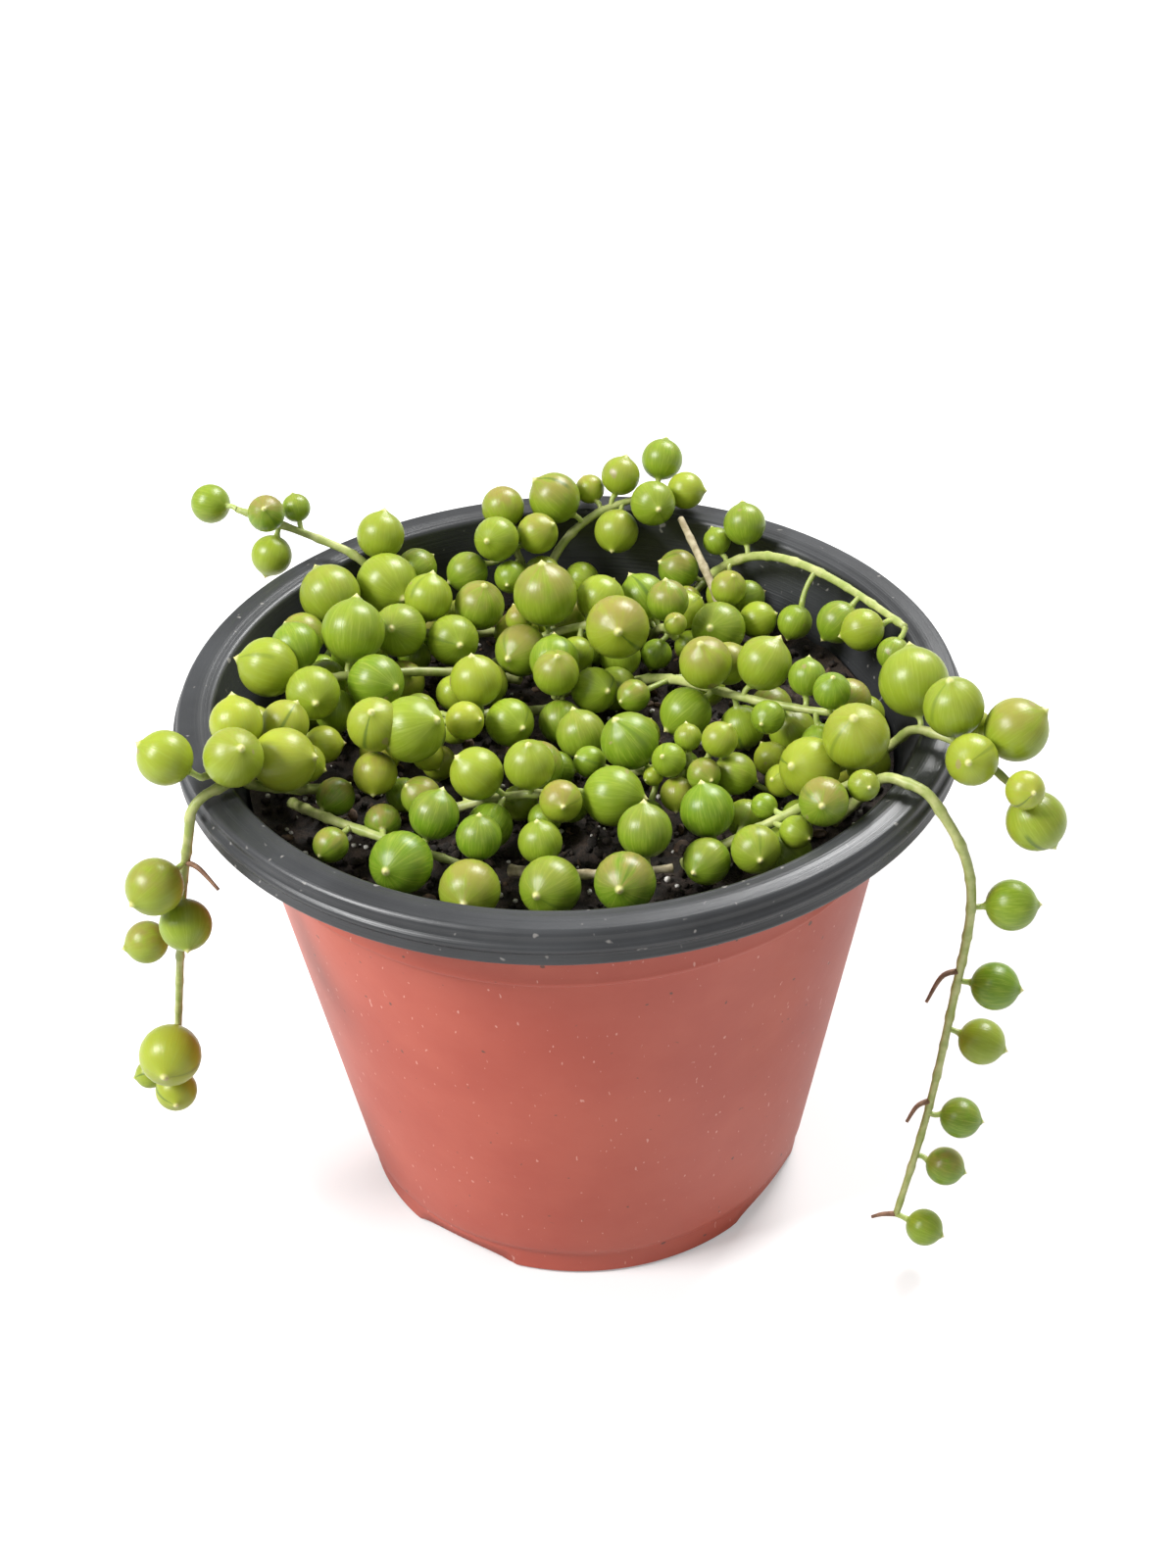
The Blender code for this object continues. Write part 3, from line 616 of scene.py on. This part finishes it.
def lift_notches(pot):
    """Raises the foot ring's edge into shallow arches where the drain notches are."""
    for vertex in pot.data.vertices:
        x, y, z = vertex.co / MM
        radius = math.hypot(x, y)
        if radius < FOOT_RADIUS - SHOULDER - FOOT_RING - 0.1 or z > 1.0:
            continue
        for k in range(NOTCHES):
            off = (math.atan2(y, x) - NOTCH_TURN - math.tau * k / NOTCHES + math.pi) % math.tau - math.pi
            across = off * radius / (NOTCH_WIDTH / 2)
            if abs(across) < 1.0:
                vertex.co.z = max(vertex.co.z, NOTCH_HEIGHT * math.sqrt(1 - across * across) * MM)


def crumb(centre, size, rng):
    """A small irregular grain as an eight-cornered lump."""
    axis = Vector((rng.random(), rng.random(), rng.random() + 0.1)).normalized()
    turn = Matrix.Rotation(rng.uniform(0, math.tau), 3, axis)
    corners = []
    for x in (-1, 1):
        for y in (-1, 1):
            for z in (-1, 1):
                jag = Vector((x * size[0], y * size[1], z * size[2])) * rng.uniform(0.55, 1.0) * 0.5
                corners.append(Vector(centre) + turn @ jag)
    faces = [(0, 1, 3, 2), (4, 6, 7, 5), (0, 4, 5, 1), (2, 3, 7, 6), (0, 2, 6, 4), (1, 5, 7, 3)]
    return corners, faces


def scatter(name, count, low, high, flat, surface, rng):
    vertices = []
    faces = []
    for _ in range(count):
        radius = (SOIL_EDGE - 1.5) * math.sqrt(rng.random())
        angle = rng.uniform(0, math.tau)
        size = rng.uniform(low, high)
        lift = GRAIN_LIFT * size * flat
        height = SOIL_TOP + soil_height(radius, angle) + lift
        centre = (radius * math.cos(angle), radius * math.sin(angle), height)
        corners, skin = crumb(centre, (size, size * rng.uniform(0.6, 1.0), size * flat), rng)
        faces += [tuple(k + len(vertices) for k in face) for face in skin]
        vertices += corners
    made = add_piece(name, vertices, faces, surface, "potting_soil")
    soften = made.modifiers.new("soften", "SUBSURF")
    soften.levels = 1
    soften.render_levels = 1


def soil_height(radius, angle):
    x = radius * math.cos(angle)
    y = radius * math.sin(angle)
    return 0.5 * math.sin(x * 0.31 + 1.0) * math.cos(y * 0.27) + 0.35 * math.sin(x * 0.83 + y * 0.61) - 0.3


def make_soil():
    rows = 60
    turns = 160
    rng = random.Random(4)
    vertices = []
    faces = []
    for row in range(rows + 1):
        radius = SOIL_EDGE * row / rows
        for k in range(turns):
            angle = math.tau * k / turns
            height = SOIL_TOP + soil_height(radius, angle) + rng.uniform(-0.28, 0.28)
            vertices.append((radius * math.cos(angle), radius * math.sin(angle), height))
    for row in range(rows):
        for k in range(turns):
            after = (k + 1) % turns
            low = row * turns
            faces.append((low + k, low + turns + k, low + turns + after, low + after))
    add_piece("soil_surface", vertices, faces, soil_material(), "potting_soil")
    scatter("soil_crumbs", 1500, 0.8, 2.6, 0.7, soil_material(), rng)
    bark = plain_grain("bark", (0.05, 0.028, 0.015), (0.14, 0.085, 0.05), 900.0, 0.8)
    scatter("soil_bark", 260, 1.2, 4.0, 0.3, bark, rng)
    perlite = plain_grain("perlite", (0.45, 0.42, 0.37), (0.80, 0.78, 0.74), 1500.0, 0.9)
    scatter("soil_perlite", 420, 0.5, 1.3, 0.9, perlite, rng)


def tube(points, radii, sides):
    """Capped tube through points with its own radius at each, carried without twist."""
    rings = []
    side = None
    for k, point in enumerate(points):
        axis = Vector(points[min(k + 1, len(points) - 1)] - points[max(k - 1, 0)]).normalized()
        side = axis.orthogonal() if side is None else side - axis * side.dot(axis)
        side.normalize()
        other = axis.cross(side)
        rings.append([Vector(point) + radii[k] * (math.cos(a) * side + math.sin(a) * other)
                      for a in (math.tau * s / sides for s in range(sides))])
    return swept(rings)


def make_stem(name, points, surface, rng):
    fine = smooth_route(points, 0.8)
    count = len(fine)
    radii = []
    for k in range(count):
        taper = 1.0 - 0.35 * k / count
        knuckle = 0.14 * max(0.0, math.cos(k * 0.9 + rng.random() * 0.4)) ** 6
        radii.append(STEM_RADIUS * 0.86 * taper + knuckle)
    vertices, faces = tube(fine, radii, 12)
    add_piece(name + "_stem", vertices, faces, surface, name)


def pearl_rings(seat, centre, radius, twist, rng):
    """Rings of one leaf from the stem to its point, with skin coordinates for the shader."""
    axis = Vector(centre - seat).normalized()
    middle = Vector(centre)
    side = axis.orthogonal().normalized()
    side = Matrix.Rotation(twist, 3, axis) @ side
    other = axis.cross(side)
    start = Vector(seat)
    neck = middle - axis * radius * 0.97
    sag = side * 0.25 * (neck - start).length * rng.uniform(-1, 1)
    track = []
    for k in range(STALK_ROWS):
        t = k / STALK_ROWS
        place = start.lerp(neck, t) + sag * math.sin(math.pi * t)
        track.append((place, STALK_RADIUS * (0.95 - 0.2 * math.sin(math.pi * t)), -1.3 + 0.25 * t))
    for k in range(LATITUDES + 1):
        angle = math.radians(LOWEST_LATITUDE + LATITUDE_SPAN * k / LATITUDES)
        up = math.sin(angle)
        near_tip = max(0.0, (up - TIP_START) / (1.0 - TIP_START))
        point = TIP_RISE * near_tip ** 2
        wide = math.cos(angle) * (1.0 - TIP_NARROWING * near_tip)
        track.append((middle + axis * radius * (up + point), max(radius * wide, 0.05), up + point))
    vertices = []
    skin = []
    for place, wide, up in track:
        for k in range(LONGITUDES):
            angle = math.tau * k / LONGITUDES
            vertices.append(place + wide * (math.cos(angle) * side + math.sin(angle) * other))
            skin.append((math.cos(angle), math.sin(angle), up))
    vertices.append(middle + axis * radius * 1.2)
    skin.append((0.0, 0.0, 1.2))
    faces = []
    for row in range(len(track) - 1):
        low = row * LONGITUDES
        for k in range(LONGITUDES):
            after = (k + 1) % LONGITUDES
            faces.append((low + k, low + after, low + LONGITUDES + after, low + LONGITUDES + k))
    top = (len(track) - 1) * LONGITUDES
    for k in range(LONGITUDES):
        faces.append((top + k, top + (k + 1) % LONGITUDES, len(vertices) - 1))
    return vertices, faces, skin


def add_low_leaves(settled, rng):
    """Young leaves low between the others, close to the soil, where the CAD keeps only the large ones."""
    stems = [(name, k, p) for name, (points, _) in settled.items() for k, p in enumerate(points)]
    places = np.array([p for _, _, p in stems])
    taken = [(c, r) for _, leaves in settled.values() for c, r, _ in leaves]
    added = 0
    for _ in range(LOW_LEAF_TRIES):
        radius = rng.uniform(*LOW_LEAF_RADIUS)
        out = (SOIL_EDGE - 4.0) * math.sqrt(rng.random())
        angle = rng.uniform(0, math.tau)
        height = SOIL_TOP + radius + rng.uniform(0.3, 5.0)
        here = np.array([out * math.cos(angle), out * math.sin(angle), height])
        gaps = np.linalg.norm(places - here, axis=1)
        near = int(np.argmin(gaps))
        if gaps[near] > radius + LOW_LEAF_REACH or gaps[near] < radius + STEM_RADIUS + 0.1:
            continue
        if any(np.linalg.norm(c - here) < r + radius + 0.1 for c, r in taken):
            continue
        if here[1] < -25 and abs(here[0]) < 14:
            continue
        name, index, _ = stems[near]
        settled[name][1].append((here, radius, index))
        taken.append((here, radius))
        added += 1
        if added == LOW_LEAVES:
            break


def make_leaves(name, points, leaves, surface, rng):
    vertices, faces, skin, tints, blushes, slits = [], [], [], [], [], []
    yellow = YELLOW_STRANDS.get(name, 0.30)
    for centre, radius, near in leaves:
        body, sides, coords = pearl_rings(points[near], centre, radius, rng.uniform(0, math.tau), rng)
        faces += [tuple(k + len(vertices) for k in face) for face in sides]
        vertices += body
        skin += coords
        tints += [min(1.0, max(0.0, yellow + rng.uniform(-0.22, 0.28)))] * len(body)
        blushes += [rng.choice((0.05, 0.15, 0.3, 0.75)) * rng.uniform(0.7, 1.1)] * len(body)
        slits += [rng.choice((0.0, 0.35, 0.7))] * len(body)
    made = add_piece(name + "_leaves", vertices, faces, surface, name)
    mesh = made.data
    mesh.attributes.new("skin", "FLOAT_VECTOR", "POINT").data.foreach_set("vector", np.array(skin).ravel())
    for key, values in (("tint", tints), ("blush", blushes), ("slit", slits)):
        mesh.attributes.new(key, "FLOAT", "POINT").data.foreach_set("value", values)


# Dry aerial roots: the strand each leaves and the points it follows
ROOTS = [
    ("strand_right_trail", [(50, -27, 50), (47.5, -28, 50), (45.5, -29, 46.5)]),
    ("strand_right_trail", [(49, -26, 25), (47, -27, 25), (45.5, -28, 23)]),
    ("strand_right_trail", [(44, -30, 7), (42, -30, 7), (40.5, -30, 6.5)]),
    ("strand_left_trail", [(-50, -27, 72), (-48, -29, 72.5), (-45.5, -31, 70.5)]),
]


def make_roots(settled):
    brown = plain_grain("dry_root", (0.16, 0.08, 0.045), (0.30, 0.17, 0.10), 700.0, 0.7)
    for number, (name, route) in enumerate(ROOTS):
        points = settled[name][0]
        start = points[int(np.argmin(np.linalg.norm(points - np.array(route[0], float), axis=1)))]
        shift = start - np.array(route[0], float)
        fine = smooth_route(np.array(route, float) + shift, 0.5)
        radii = [0.42 - 0.22 * k / len(fine) for k in range(len(fine))]
        vertices, faces = tube(fine, radii, 8)
        add_piece(f"aerial_root_{number}", vertices, faces, brown, name)


# ---------------------------------------------------------------- stage
def make_stage():
    bpy.ops.mesh.primitive_plane_add(size=FLOOR_SIZE, location=(0, 0, -FLOOR_DROP))
    floor = bpy.context.object
    floor.name = "floor"
    made, tree, shader = new_material("pale_floor")
    shader.inputs["Base Color"].default_value = (*FLOOR_COLOUR, 1.0)
    shader.inputs["Roughness"].default_value = 0.9
    shader.inputs["Specular IOR Level"].default_value = 0.1
    path = node(tree, "ShaderNodeLightPath")
    shader.inputs["Emission Color"].default_value = (1.0, 1.0, 1.0, 1.0)
    tree.links.new(times(tree, path.outputs["Is Camera Ray"], FLOOR_LIFT), shader.inputs["Emission Strength"])
    floor.data.materials.append(made)
    world = bpy.data.worlds.new("studio")
    bpy.context.scene.world = world
    world.use_nodes = True
    world.node_tree.nodes["Background"].inputs["Color"].default_value = (1.0, 1.0, 1.0, 1.0)
    world.node_tree.nodes["Background"].inputs["Strength"].default_value = WORLD_LEVEL
    for name, place, size, power in LAMPS:
        lamp = bpy.data.lights.new(name, "AREA")
        lamp.size = size
        lamp.energy = power
        holder = bpy.data.objects.new(name, lamp)
        holder.location = place
        holder.rotation_euler = (Vector((0, 0, 0.06)) - Vector(place)).to_track_quat("-Z", "Y").to_euler()
        bpy.context.scene.collection.objects.link(holder)


def make_camera():
    camera = bpy.data.cameras.new("camera")
    camera.lens = LENS
    camera.sensor_width = 36.0
    camera.clip_start = 0.01
    holder = bpy.data.objects.new("camera", camera)
    down = math.radians(CAMERA_ELEVATION)
    height = CAMERA_AIM_Z + CAMERA_DISTANCE * math.sin(down)
    place = Vector((CAMERA_SIDE, -CAMERA_DISTANCE * math.cos(down), height))
    tilt = Matrix.Rotation(math.pi / 2 - down, 4, "X") @ Matrix.Rotation(-math.radians(CAMERA_ROLL), 4, "Z")
    holder.matrix_world = Matrix.Translation(place) @ tilt
    bpy.context.scene.collection.objects.link(holder)
    bpy.context.scene.camera = holder
    bpy.context.scene.view_settings.view_transform = "Standard"


def main():
    make_camera()
    make_stage()
    make_pot()
    make_soil()
    leaf = leaf_material()
    green = plain_grain("young_stem", (0.30, 0.36, 0.09), (0.46, 0.48, 0.19), 500.0, 0.45)
    grey = plain_grain("old_stem", (0.24, 0.19, 0.10), (0.46, 0.40, 0.26), 650.0, 0.7)
    settled = settle()
    rng = random.Random(11)
    add_low_leaves(settled, random.Random(23))
    for name, (points, leaves) in settled.items():
        make_stem(name, points, grey if name in OLD_STEMS else green, rng)
        make_leaves(name, points, leaves, leaf, rng)
    make_roots(settled)


main()
